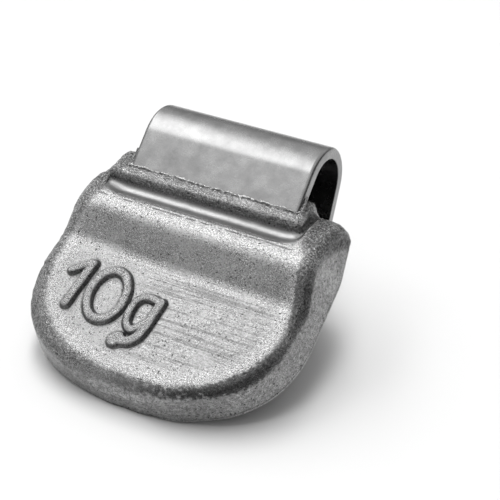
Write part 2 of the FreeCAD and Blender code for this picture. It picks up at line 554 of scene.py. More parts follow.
@dataclass(frozen=True)
class CastZinc:
    """Zinc as cast: fine crystalline grain, coarse at the collar and the edges, wear and painted highlight
    on ridges.

    Attributes:
        axes: The body's own axes.
        name: Name of the material.
        brightness: Reflected share where the metal is clean.
        roughness: Roughness of the clean metal.
        grain: Cells a millimetre of the fine grain.
        grain_depth: Depth of the fine grain in millimetres.
        coarse_depth: Depth of the coarse grain in millimetres.
        line_depth: Depth of the lines along the face in millimetres.
        combing: Cells a millimetre of the combed lines, along them and across them.
        mould_lines: How far above the valley the mould's two lines run.
        mould_line_half: How far from the middle the two lines end.
        parting_depth: How far behind the face the mould parts.
    """

    axes: BodyAxes
    name: str = "cast_zinc_finish"
    brightness: float = 0.352
    roughness: float = 0.2
    grain: float = 12.0
    grain_depth: float = 0.1
    coarse_depth: float = 0.11
    line_depth: float = 0.02
    combing: Pair = (0.13, 6.5)
    mould_lines: Pair = (4.33, 3.97)
    mould_line_half: float = 8.0
    parting_depth: float = 2.93

    def mould_line(self, shader: ShaderMaker, up: Socket, wander: Socket) -> Socket:
        """The two thin lines that the mould leaves under the collar, the lower one broken.

        Args:
            shader: Maker of the finish.
            up: Place up along the face.
            wander: Noise that the lines wander by.

        Returns:
            1 on the lines, less than 0 between them and 0 off them.
        """
        high, low = self.mould_lines
        broken = shader.noise(shader.place, 1.3, 2.0, 0.7).ramp(0.42, 0.52)
        off_middle = shader.place.dot((1.0, 0.0, 0.0)).size()
        inside = off_middle.ramp(self.mould_line_half + 0.4, self.mould_line_half - 0.4)
        upper = (up - high + wander).size().ramp(0.11, 0.02) * 0.3
        between = (up - (high + low) / 2 + wander).size().ramp(0.07, 0.02) * broken * -0.8
        lower = (up - low + wander).size().ramp(0.08, 0.02) * broken
        return (upper.most(lower) + between) * inside

    def material(self) -> bpy.types.Material:
        """Builds the finish.

        Returns:
            The material.
        """
        shader = ShaderMaker(self.name)
        masks = {mask: shader.attribute(mask) for mask in Mask if mask is not Mask.INNER_PAINTED_SHADE}
        granular, wear_and_highlight, hollow_painted_shade = masks[Mask.GRANULAR], masks[Mask.WEAR_AND_HIGHLIGHT], masks[Mask.HOLLOW_PAINTED_SHADE]
        combed, wall_skin_and_shade = masks[Mask.COMBED], masks[Mask.SKIN]
        ways = (self.axes.up, self.axes.depth)
        up, depth = (shader.place.dot(way) - float(self.axes.origin @ way) for way in ways)
        # Noise, from the grain to the broad patches
        turn = -self.axes.turn()
        even = shader.noise(shader.place, self.grain, 2.0, 0.65)
        streaked = shader.noise(shader.turned(turn, (0.5, 1.0, 1.0)), self.grain, 2.0, 0.6)
        fine = even + 0.6 * combed * (streaked - even)
        mottle = shader.noise(shader.place, self.grain * 0.55, 1.0, 0.6)
        coarse = shader.noise(shader.place, self.grain * 0.3, 2.0, 0.6)
        patches = shader.noise(shader.place, 0.55, 3.0, 0.6)
        blotches = shader.noise(shader.place, 3.4, 4.0, 0.75)
        along, aside = self.combing
        combing = shader.noise(shader.turned(turn, (along, aside, aside)), 1.0, 1.0, 0.5)
        # Single marks
        scratches = combing.ramp(0.5, 0.36) * combed
        line = self.mould_line(shader, up, 0.1 * patches + 0.16 * coarse - 0.13)
        parting = (depth - self.parting_depth + 0.12 * patches - 0.06).size().ramp(0.07, 0.02) * wall_skin_and_shade
        pores = shader.noise(shader.place, self.grain * 0.6, 0.0).ramp(0.29, 0.22)
        glints = shader.noise(shader.place + (5.0, 5.0, 5.0), self.grain * 0.7, 0.0).ramp(0.7, 0.78)
        seam = masks[Mask.SEAM] + 0.08 * mottle - 0.04
        dotted = (seam + 0.16).size().ramp(0.09, 0.04) * coarse.ramp(0.42, 0.55)
        # A painted glint along where the zinc meets the clip's leg
        seam_painted_glint = (seam + 0.03).size().ramp(0.07, 0.02)
        # Where the edges are rounded, where the cast surface is smooth and where the grain shows
        rounding = (masks[Mask.RIM] + 0.6 * coarse - 0.3 + 0.35 * fine - 0.175).ramp(0.38, 0.56)
        lower = up.ramp(0.5, -0.8) * (1 - wall_skin_and_shade)
        smoothed = granular.ramp(0.3, 0.05)
        crisp = granular.ramp(0.0, 0.35, 0.2, 1.0)
        speckled = granular.ramp(0.5, 0.9) * 1.6 + rounding * 1.4
        # How bright the metal is, with painted shade on the rounded rim, and what each mark adds or takes as
        # a share
        tone = self.brightness * (0.8 + 0.4 * patches) * (1 - rounding * masks[Mask.RIM_PAINTED_SHADE])
        # Side walls mottled and given painted shade, painted shade in recesses, wear and painted highlight
        # on ridges
        tone = tone * (1 + wall_skin_and_shade * (2.3 * blotches - 1.35)) * (1 - 0.5 * hollow_painted_shade) + 0.1 * wear_and_highlight
        tone = tone * (1 + crisp * (2.6 * fine - 1.3)) * (1 + speckled * (mottle - 0.5))
        tone = tone * (1 - 0.08 * lower - 0.2 * combed)
        marks = (
            (crisp * pores, -0.85), (granular * glints, 0.5), (smoothed, -0.08), (line, -0.55),
            (parting, -0.4), (dotted, -0.8), (seam_painted_glint, 1.5), (combed, 0.04), (scratches, -0.34))
        for mark, share in marks:
            tone = tone * (1 + share * mark)
        dull = self.roughness + 0.14 * patches + 0.1 * hollow_painted_shade - 0.06 * wear_and_highlight + 0.1 * wall_skin_and_shade + 0.08 * smoothed
        relief = shader.bump(combed * combing - line - parting, self.line_depth)
        relief = shader.bump(fine * (0.1 + 0.9 * granular), self.grain_depth, relief)
        relief = shader.bump(coarse * granular * granular, self.coarse_depth, relief)
        colour = shader.grey(tone.between(0.02, 0.95))
        return shader.finish({"Metallic": 1.0, "Base Color": colour, "Roughness": dull, "Normal": relief})


@dataclass(frozen=True)
class SatinSteel:
    """Spring steel with a satin rolled surface.

    Attributes:
        name: Name of the material.
        brightness: Reflected share.
        roughness: Roughness of the rolled surface.
        rolled_depth: Depth of the rolled texture in millimetres.
        inner_painted_shade: Share of the brightness that the inside of the fold lacks, painted shade for its
            dark inside.
    """

    name: str = "satin_spring_steel"
    brightness: float = 0.256
    roughness: float = 0.2
    rolled_depth: float = 0.002
    inner_painted_shade: float = 0.6

    def material(self) -> bpy.types.Material:
        """Builds the finish.

        Returns:
            The material.
        """
        shader = ShaderMaker(self.name)
        fine = shader.noise(shader.place, 7.0, 3.0, 0.6)
        patches = shader.noise(shader.place, 0.9, 3.0, 0.55)
        tone = self.brightness * (0.56 + 0.8 * patches + 0.08 * fine)
        # Painted shade inside the fold
        tone = tone * (1 - self.inner_painted_shade * shader.attribute(Mask.INNER_PAINTED_SHADE))
        dull = self.roughness + 0.08 * patches + 0.05 * fine
        relief = shader.bump(fine, self.rolled_depth)
        colour = shader.grey(tone)
        return shader.finish({"Metallic": 1.0, "Base Color": colour, "Roughness": dull, "Normal": relief})


@dataclass(frozen=True)
class PaleFloor:
    """A plain white sweep.

    Attributes:
        name: Name of the material.
        brightness: Reflected share.
    """

    name: str = "pale_floor"
    brightness: float = 0.58

    def material(self) -> bpy.types.Material:
        """Builds the finish.

        Returns:
            The material.
        """
        shader = ShaderMaker(self.name)
        tone = self.brightness + 0.01 * shader.noise(shader.place, 0.02)
        return shader.finish({"Base Color": shader.grey(tone), "Roughness": 0.9, "Specular IOR Level": 0.1})


def linked_object(name: str, data: bpy.types.ID) -> bpy.types.Object:
    """Makes an object and links it to the scene.

    Args:
        name: Name of the object.
        data: What it shows: a mesh, a curve, a camera or a light.

    Returns:
        The object.
    """
    made = bpy.data.objects.new(name, data)
    bpy.context.scene.collection.objects.link(made)
    return made


def placed_mesh(name: str, points: np.ndarray, faces: np.ndarray, axes: BodyAxes) -> bpy.types.Object:
    """Makes an object from points in the body's axes.

    Args:
        name: Name of the object and its mesh.
        points: Points in millimetres in the body's axes.
        faces: Faces by point number.
        axes: Where the body's axes lie.

    Returns:
        The object, at the origin with its place in its mesh.
    """
    mesh = bpy.data.meshes.new(name)
    mesh.from_pydata(points.tolist(), [], faces.tolist())
    mesh.transform(axes.matrix())
    mesh.shade_smooth()
    mesh.validate()
    return linked_object(name, mesh)


def store_masks(mesh: bpy.types.Mesh, masks: dict[Mask, np.ndarray]) -> None:
    """Writes masks into a mesh as point attributes."""
    for mask, values in masks.items():
        layer = mesh.attributes.new(mask.value, "FLOAT", "POINT")
        layer.data.foreach_set("value", values.astype(np.float32))


def point_vectors(mesh: bpy.types.Mesh, name: str) -> np.ndarray:
    """Reads the places or the directions of a mesh's points.

    Args:
        mesh: The mesh.
        name: What is read, "co" for the places or "normal" for the directions.

    Returns:
        The vectors, one a row.
    """
    values = np.empty(len(mesh.vertices) * 3, np.float32)
    mesh.vertices.foreach_get(name, values)
    return values.reshape(-1, 3)


def keep_inside(piece: bpy.types.Object, low: Vector, high: Vector) -> None:
    """Holds every point of a piece a hair inside the CAD part's box.

    Args:
        piece: The piece.
        low: Lowest corner of the box.
        high: Highest corner of the box.
    """
    hair = 1e-6
    held = np.clip(point_vectors(piece.data, "co"), np.array(low) + hair, np.array(high) - hair)
    piece.data.vertices.foreach_set("co", held.ravel())
    piece.data.update()


@dataclass(frozen=True)
class CastBody:
    """The zinc casting: slab with a bulge across its upper half, and the collar round the clip's leg.

    Sizes are in millimetres and angles in radians. Points are (across, depth, up), with depth 0 on the
    flat face, and section points are (depth, up). Pairs for the two sides are (left, right).

    Attributes:
        half_widths: Half widths of the body.
        lower_corner_radii: Radii of the lower corners.
        bottom_below_valley: How far below the valley the lower edge lies.
        bottom_radius: Radius of the lower edge.
        side_leans: Angles that the sides lean in by.
        top_above_valley: How far above the valley the top lies.
        upper_corner_radius: Radius of the upper corners.
        lower_swells: Where the lower edge stands out: height, bearing, half width, half width of its top.
        shoulder_swell: How far the left shoulder stands out beside the collar.
        draft: Angle of the side walls to the body's depth.
        thickness: Depth of the flat back behind the face.
        seat_below_valley: How far below the valley the back bears on the rim.
        rim_bevel: Depth of the bevel between face and side walls.
        right_bevel_loss: Share of it that the lower right and the right side lack.
        left_bevel_gain: What is added to it at the left side.
        rim_bevel_angle: Angle of the bevel to the face.
        rim_blend: How softly the bevel's edges are rounded.
        shoulder_rim_blend: What is added to that at the upper left shoulder.
        back_edge_radius: Radius of the edge round the back.
        bulge: Crest of the bulge in the section.
        shoulder: Corner of the section above the crest.
        crown: Front corner of the section's top.
        back_top: Back corner of the section's top.
        back_knee: Where the sloped back meets the flat one.
        valley_up: Height at which the flank of the bulge starts.
        valley_radius: Radius of the valley.
        flank_lift: How much higher the flank starts at the left.
        bulge_radius: Radius of the crest.
        shoulder_radius: Radius at the shoulder.
        crown_radius: Radius at the crown.
        back_knee_radius: Radius at the back's knee.
        collar: The collar's section.
        collar_blends: How softly its corners are rounded, from the lip to the back and at the foot.
        collar_half_width: Half width of the collar.
        collar_shift: How far to the left the collar's middle lies.
        collar_end_radius: Radius of the edges at the collar's ends.
        collar_foot_blend: How softly the collar runs into the slab.
        trough: Line of the trough under the collar, from its edge to its foot.
        trough_end_rise: How far the trough rises towards its ends.
        leg_top: Depth and height at which the clip's front leg meets the fold.
        leg_lean: Angle of that leg to the face.
        leg_half_width: Half width of the leg.
        flash_ends: Where the flash ends, down from the start of the leg's bend.
        flash_radius: Radius of the flash at its top.
        flash_swell: What is added to it at its foot.
        spacing: Distance between the points that the surface is worked out from.
        rim_painted_shades: Bearings with how much painted shade the rim gets there, and how much wider.
    """

    half_widths: Pair = (10.78, 10.98)
    lower_corner_radii: Pair = (5.9, 7.5)
    bottom_below_valley: float = 9.33
    bottom_radius: float = 21.0
    side_leans: Pair = (math.radians(4.0), math.radians(2.0))
    top_above_valley: float = 8.68
    upper_corner_radius: float = 1.75
    lower_swells: tuple[tuple[float, ...], ...] = ((0.3, -112.0, 40.0, 12.0), (0.25, -68.0, 24.0, 8.0))
    shoulder_swell: float = 0.2
    draft: float = math.radians(10.5)
    thickness: float = 3.4
    seat_below_valley: float = 2.5
    rim_bevel: float = 0.47
    right_bevel_loss: float = 0.3
    left_bevel_gain: float = 0.15
    rim_bevel_angle: float = math.radians(42.0)
    rim_blend: float = 0.2
    shoulder_rim_blend: float = 2.0
    back_edge_radius: float = 0.35
    bulge: Pair = (-1.42, 2.98)
    shoulder: Pair = (-0.66, 6.04)
    crown: Pair = (0.8, 8.4)
    back_top: Pair = (1.9, 8.66)
    back_knee: Pair = (3.4, 4.4)
    valley_up: float = 0.42
    valley_radius: float = 1.5
    flank_lift: float = 0.28
    bulge_radius: float = 1.9
    shoulder_radius: float = 2.6
    crown_radius: float = 1.4
    back_knee_radius: float = 2.6
    collar: tuple[Pair, ...] = (
        (-1.226, 6.078), (-0.354, 8.32), (0.197, 8.7), (1.577, 8.45), (2.626, 4.497), (-0.03, 4.61))
    collar_blends: tuple[float, ...] = (0.12, 0.2, 0.12, 0.1)
    collar_half_width: float = 8.0
    collar_shift: float = 0.33
    collar_end_radius: float = 0.5
    collar_foot_blend: float = 0.5
    trough: tuple[Pair, ...] = ((-1.142, 4.1), (-0.46, 5.15))
    trough_end_rise: float = 0.3
    leg_top: Pair = LEG_TOP
    leg_lean: float = math.radians(14.6)
    leg_half_width: float = 7.0
    flash_ends: Pair = (1.5, 2.9)
    flash_radius: float = 0.08
    flash_swell: float = 0.2
    spacing: float = 0.112
    rim_painted_shades: tuple[Triple, ...] = (
        (-150.0, 0.42, 0.25), (-125.0, 0.38, 0.12), (-100.0, 0.42, 0.0), (-85.0, 0.6, 0.0),
        (-65.0, 0.8, -0.03), (-45.0, 0.9, 0.0), (-25.0, 0.87, 0.12), (-10.0, 0.8, 0.08), (0.0, 0.5, 0.0),
        (8.0, 0.7, 0.1), (20.0, 0.84, 0.2), (32.0, 0.5, 0.25), (42.0, 0.45, 1.1), (60.0, 0.5, 0.1),
        (100.0, 0.3, 0.0), (138.0, 0.45, 1.0), (150.0, 0.42, 0.5), (165.0, 0.42, 0.3), (180.0, 0.42, 0.35))

    @staticmethod
    def bearing(across: np.ndarray, up: np.ndarray) -> np.ndarray:
        """Angles in degrees of places seen from the middle of the face: 0 to the right, 90 up."""
        middle_below_valley = 2.0
        return np.degrees(np.arctan2(up + middle_below_valley, across))

    def outline_side(
            self, aside: np.ndarray, up: np.ndarray, half: float, radius: float, lean: float) -> np.ndarray:
        """Distance to one side of the outline.

        Args:
            aside: Places out from the middle.
            up: Places up along the face.
            half: Half width of the body on this side.
            radius: Radius of the lower corner.
            lean: Angle that the side leans in by.

        Returns:
            Distances in the plane of the flat back, negative inside.
        """
        cos, sin = math.cos(lean), math.sin(lean)
        bottom_up = self.bottom_radius - self.bottom_below_valley
        corner_x = half - radius
        corner_z = bottom_up - math.sqrt((self.bottom_radius - radius) ** 2 - corner_x ** 2)
        top_z = self.top_above_valley - self.upper_corner_radius
        top_x = corner_x + (radius - self.upper_corner_radius) / cos - (top_z - corner_z) * sin / cos
        bottom = np.hypot(aside, up - bottom_up) - self.bottom_radius
        corner = np.hypot(aside - corner_x, up - corner_z) - radius
        side_wall = (aside - corner_x) * cos + (up - corner_z) * sin - radius
        upper = np.hypot(aside - top_x, up - top_z) - self.upper_corner_radius
        top = up - self.top_above_valley
        below_side = (up - corner_z) * cos - (aside - corner_x) * sin < 0
        above_side = (up - top_z) * cos - (aside - top_x) * sin > 0
        foot_side = aside * (bottom_up - corner_z) > corner_x * (bottom_up - up)
        over_top = above_side | ((up > top_z) & (aside <= top_x))
        cases = [above_side & (aside > top_x), over_top, below_side & foot_side, below_side]
        return np.select(cases, [upper, top, corner, bottom], side_wall)

    def outline(self, across: np.ndarray, up: np.ndarray) -> np.ndarray:
        """Distance to the outline in the plane of the flat back, negative inside.

        Args:
            across: Places across, 0 in the middle.
            up: Places up along the face.

        Returns:
            The distances.
        """
        sides = zip(self.half_widths, self.lower_corner_radii, self.side_leans)
        left, right = (self.outline_side(np.abs(across), up, *sizes) for sizes in sides)
        result = np.where(across < 0, left, right)
        bearing = self.bearing(across, up)
        for height, middle, half, flat_half in self.lower_swells:
            result = result - height * smooth_step(half, flat_half, np.abs(bearing - middle))
        return result

    @staticmethod
    def run(start: Pair, end: Pair, depth: np.ndarray, up: np.ndarray) -> np.ndarray:
        """Distance to the line from start to end in the section, positive on its outer side."""
        along = unit(np.subtract(end, start))
        return -along[1] * (depth - start[0]) + along[0] * (up - start[1])

    @staticmethod
    def blend_width(section: list[Pair], index: int, radius: float) -> float:
        """Width of the smooth change that rounds a corner of the section.

        Args:
            section: The section's points.
            index: Which of them is the corner.
            radius: Radius of the rounding.

        Returns:
            The width.
        """
        before = unit(np.subtract(section[index], section[index - 1]))
        after = unit(np.subtract(section[index + 1], section[index]))
        turn = math.acos(float(np.clip(before @ after, -1, 1)))
        return radius * math.sin(turn) * math.tan(turn / 2)

    def slab(self, points: np.ndarray) -> tuple[np.ndarray, np.ndarray, np.ndarray, np.ndarray]:
        """The casting without its collar.

        Args:
            points: Places, one a row.

        Returns:
            Distance to the slab, to its front surface, to its side wall and to the rim between them.
        """
        across, depth, up = points.T
        bearing = self.bearing(across, up)
        beside_collar = smooth_step(-9.4, -8.5, across) * smooth_step(-7.6, -8.2, across)
        swell = self.shoulder_swell * beside_collar * smooth_step(4.9, 6.0, up)
        wall = self.outline(across, up) + (self.thickness - depth) * math.tan(self.draft)
        wall = wall * math.cos(self.draft) - swell
        section = [(0.0, -5.0), (0.0, self.valley_up), self.bulge, self.shoulder, self.crown,
                   self.back_top, self.back_knee, (self.thickness, 0.0)]
        runs = [self.run(start, end, depth, up) for start, end in zip(section, section[1:])]
        lift = self.flank_lift * smooth_step(-1.0, -9.0, across)
        flank = self.run(section[1], section[2], depth, up - lift)
        front = soft_min(-depth, flank, self.blend_width(section, 1, self.valley_radius))
        for index, radius in ((2, self.bulge_radius), (3, self.shoulder_radius), (4, self.crown_radius)):
            front = soft_max(front, runs[index], self.blend_width(section, index, radius))
        front = front - swell
        back_blend = self.blend_width(section, 6, self.back_knee_radius)
        back = soft_max(depth - self.thickness, runs[5], back_blend)
        # The bevel lies between the front surface and the side wall, at its own angle to both
        open_angle = math.pi / 2 - self.draft
        face_share = math.sin(open_angle - self.rim_bevel_angle) / math.sin(open_angle)
        wall_share = math.sin(self.rim_bevel_angle) / math.sin(open_angle)
        bevel = face_share * front + wall_share * wall
        bevel = bevel + self.rim_bevel * (1 - self.right_bevel_loss * smooth_step(-80.0, -45.0, bearing))
        bevel = bevel + self.left_bevel_gain * smooth_step(20.0, 6.0, np.abs(bearing + 160.0))
        at_left_shoulder = smooth_step(5.0, 7.2, up) * smooth_step(-6.0, -8.5, across)
        blend = self.rim_blend + self.shoulder_rim_blend * at_left_shoulder
        rim = soft_max(soft_max(front, bevel, blend), wall, blend)
        return rounded_edge(rim, back, self.back_edge_radius), front, wall, bevel

    def collar_distance(self, points: np.ndarray) -> np.ndarray:
        """Distance to the collar that rises round the clip's leg.

        Args:
            points: Places, one a row.

        Returns:
            The distances, negative inside.
        """
        across, depth, up = points.T
        up = up + 0.06 * smooth_step(7.1, 7.8, across)
        ends = zip(self.collar, self.collar[1:] + self.collar[:1])
        lip, *upper, bottom, foot = [self.run(start, end, depth, up) for start, end in ends]
        section = lip
        for wall, blend in zip([*upper, foot], self.collar_blends):
            section = soft_max(section, wall, blend)
        section = np.maximum(section, bottom)
        aside = np.abs(across + self.collar_shift) - self.collar_half_width
        return rounded_edge(section, aside, self.collar_end_radius)

    def leg_place(self, points: np.ndarray) -> tuple[np.ndarray, np.ndarray]:
        """How far points lie in from the leg's outer side, and down from where its bend starts.

        Args:
            points: Places, one a row.

        Returns:
            The distances in and down.
        """
        depth = points[:, 1] - self.leg_top[0]
        up = points[:, 2] - self.leg_top[1]
        cos, sin = math.cos(self.leg_lean), math.sin(self.leg_lean)
        return depth * cos + up * sin, depth * sin - up * cos

    def flash(self, points: np.ndarray) -> np.ndarray:
        """Distance to the thin flash of zinc that climbs both ends of the clip's front leg.

        Args:
            points: Places, one a row.

        Returns:
            The distances, negative inside.
        """
        inward, down = self.leg_place(points)
        top, bottom = self.flash_ends
        radius = self.flash_radius + self.flash_swell * np.clip((down - top) / (bottom - top), 0, 1)
        past_end = np.maximum(top - down, 0) + np.maximum(down - bottom, 0)
        aside = np.abs(points[:, 0]) - self.leg_half_width - self.flash_radius
        return np.sqrt(aside ** 2 + (inward - 0.3) ** 2 + past_end ** 2) - radius

    def distance(self, points: np.ndarray) -> np.ndarray:
        """Distance to the whole casting.

        Args:
            points: Places, one a row.

        Returns:
            The distances, negative inside.
        """
        across, depth, up = points.T
        end_rise = self.trough_end_rise * smooth_step(6.2, 8.8, np.abs(across))
        trough = self.run(*self.trough, depth, up) - end_rise
        past_end = self.collar_half_width + 0.1 - np.abs(across)
        slab = soft_max(self.slab(points)[0], soft_min(trough, past_end, 0.3), 0.05)
        foot_blend = self.collar_foot_blend + 0.15 * smooth_step(7.2, 8.0, across)
        body = soft_min(slab, self.collar_distance(points), foot_blend)
        return soft_min(body, self.flash(points), 0.15)

    def bend(self, points: np.ndarray, reach: float = 0.3) -> np.ndarray:
        """How sharply the surface bends: above 0 on ridges and below 0 in hollows.

        Args:
            points: Places on the surface, one a row.
            reach: Distance over which it is measured.

        Returns:
            The field's second difference over the reach.
        """
        spread = np.zeros(len(points))
        for shift in np.eye(3) * reach:
            spread += self.distance(points + shift) + self.distance(points - shift)
        return spread / reach ** 2

    def at_leg(self, points: np.ndarray) -> np.ndarray:
        """Whether places lie within the width of the clip's leg."""
        return np.abs(points[:, 0]) < self.leg_half_width + 0.1

    def masks(self, points: np.ndarray, value: "RaisedValue") -> dict[Mask, np.ndarray]:
        """Where the casting is coarse, lightened by wear and painted highlight, given painted shade in
        recesses, on the side walls and on the rounded rim, and combed.

        Args:
            points: Places on the surface, one a row.
            value: The strokes that stand on the face.

        Returns:
            A number from 0 to 1 a point for each mask, and for the seam the distance in from the leg.
        """
        across, depth, up = points.T
        _, front, wall, bevel = self.slab(points)
        inward, down = self.leg_place(points)
        bend = self.bend(points)
        bearings, rim_shade_shares, widenings = zip(*self.rim_painted_shades)
        bearing = self.bearing(across, up)
        rim = np.clip(0.56 + np.interp(bearing, bearings, widenings, period=360) + bevel / 0.8, 0, 1)
        # Beside the rim and on the bulge's crest the metal is lightened by wear and painted highlight
        beside_rim = smooth_step(2.2, 1.2, -wall) * smooth_step(0.4, 0.1, -front)
        crest = smooth_step(2.7, 3.4, up) * smooth_step(5.0, 4.2, up)
        # The collar, from its top over the lip to the trough at its foot
        on_collar = smooth_step(0.25, 0.02, self.collar_distance(points))
        collar_top = on_collar * smooth_step(4.6, 3.6, down)
        lip = on_collar * smooth_step(6.0, 6.15, up) * smooth_step(7.4, 6.4, up)
        # The lip's front wall gets painted shade
        lip_wall = on_collar * smooth_step(5.0, 5.8, up) * smooth_step(6.14, 6.04, up)
        lip_wall = lip_wall * smooth_step(0.0, -0.5, depth)
        in_trough = smooth_step(5.75, 5.35, up) * smooth_step(4.36, 4.6, up)
        in_trough = in_trough * smooth_step(8.2, 7.7, np.abs(across)) * smooth_step(0.0, -0.4, depth)
        # The trough's upper edge gets painted shade
        trough_edge = 0.75 * in_trough * smooth_step(4.9, 4.7, up)
        # The flat face, and the foot of the strokes on it, where painted shade goes
        flat = smooth_step(0.12, 0.02, np.abs(depth)) * smooth_step(0.6, -0.6, up)
        foot = np.zeros(len(points))
        foot[flat > 0] = 0.7 * smooth_step(0.14, 0.02, value.plan(points[flat > 0][:, [0, 2]]))
        hollow_painted_shade = smooth_step(-0.4, -3.0, bend) * (1 - in_trough)
        by_leg = self.at_leg(points) & (up > 6.0)
        return {
            Mask.GRANULAR: np.clip(0.35 + collar_top + rim ** 2 + 0.35 * on_collar, 0, 1) * (1 - in_trough),
            # Ridges, beside the rim, the crest and the collar's lip: wear and painted highlight
            Mask.WEAR_AND_HIGHLIGHT: np.clip(smooth_step(0.5, 3.0, bend) + 0.5 * beside_rim + 0.6 * crest + lip, 0, 1),
            # Painted shade in recesses, on the lip's wall, at the strokes' foot and at the trough's edge
            Mask.HOLLOW_PAINTED_SHADE: np.clip(hollow_painted_shade + lip_wall + foot + trough_edge, 0, 1),
            Mask.COMBED: flat * smooth_step(-4.0, 1.0, across) * smooth_step(1.0, 2.5, -wall),
            Mask.RIM: rim,
            # Painted shade on the rounded rim, stronger where it faces the dark surroundings
            Mask.RIM_PAINTED_SHADE: np.interp(bearing, bearings, rim_shade_shares, period=360),
            Mask.SEAM: np.where(by_leg, np.clip(inward, -1, 1), 1.0),
            # The side walls: their smoother cast surface, with painted shade in the finish
            Mask.SKIN: smooth_step(-0.12, -0.02, wall) * smooth_step(-0.5, -1.0, front),
        }

    def ruffled(self, points: np.ndarray, granular: np.ndarray) -> np.ndarray:
        """Moves the surface in and out as a casting's surface is, most where it is coarse.

        Args:
            points: Places on the surface, one a row.
            granular: How coarse the casting is at each.

        Returns:
            The moved places.
        """
        noise = LatticeNoise(seed=11)
        other = LatticeNoise(seed=29)
        inward = self.leg_place(points)[0]
        lift = 0.03 * noise.at(points, 2.6) + 0.012 * other.at(points, 0.7)
        lift += 0.035 * granular ** 2 * noise.at(points, 0.32)
        at_lip = smooth_step(5.6, 6.0, points[:, 2])
        lift += 0.15 * np.maximum(granular - 0.6, 0) * at_lip * other.at(points, 0.24)
        groove = smooth_step(0.22, 0.0, np.abs(inward)) * self.at_leg(points)
        lift -= 0.05 * groove * (0.6 + 0.4 * noise.at(points, 0.25))
        slope = SurfaceNet.gradient(points, self.distance, 0.03)
        slope /= np.linalg.norm(slope, axis=1)[:, None]
        return points + slope * (lift - 0.02)[:, None]

    def build(self, axes: BodyAxes, finish: CastZinc, value: "RaisedValue") -> bpy.types.Object:
        """Makes and dresses the casting.

        Args:
            axes: Where the body's axes lie.
            finish: Its finish.
            value: The strokes that stand on its face.

        Returns:
            The casting.
        """
        margin = 4 * self.spacing
        front, top = -2.0, 9.2
        low = (-self.half_widths[0] - margin, front - margin, -self.bottom_below_valley - margin)
        high = (self.half_widths[1] + margin, self.thickness + margin, top + margin)
        points, quads = SurfaceNet(self.spacing, low, high).build(self.distance)
        masks = self.masks(points, value)
        piece = placed_mesh("zinc_casting", self.ruffled(points, masks[Mask.GRANULAR]), quads, axes)
        store_masks(piece.data, masks)
        piece.data.materials.append(finish.material())
        return piece


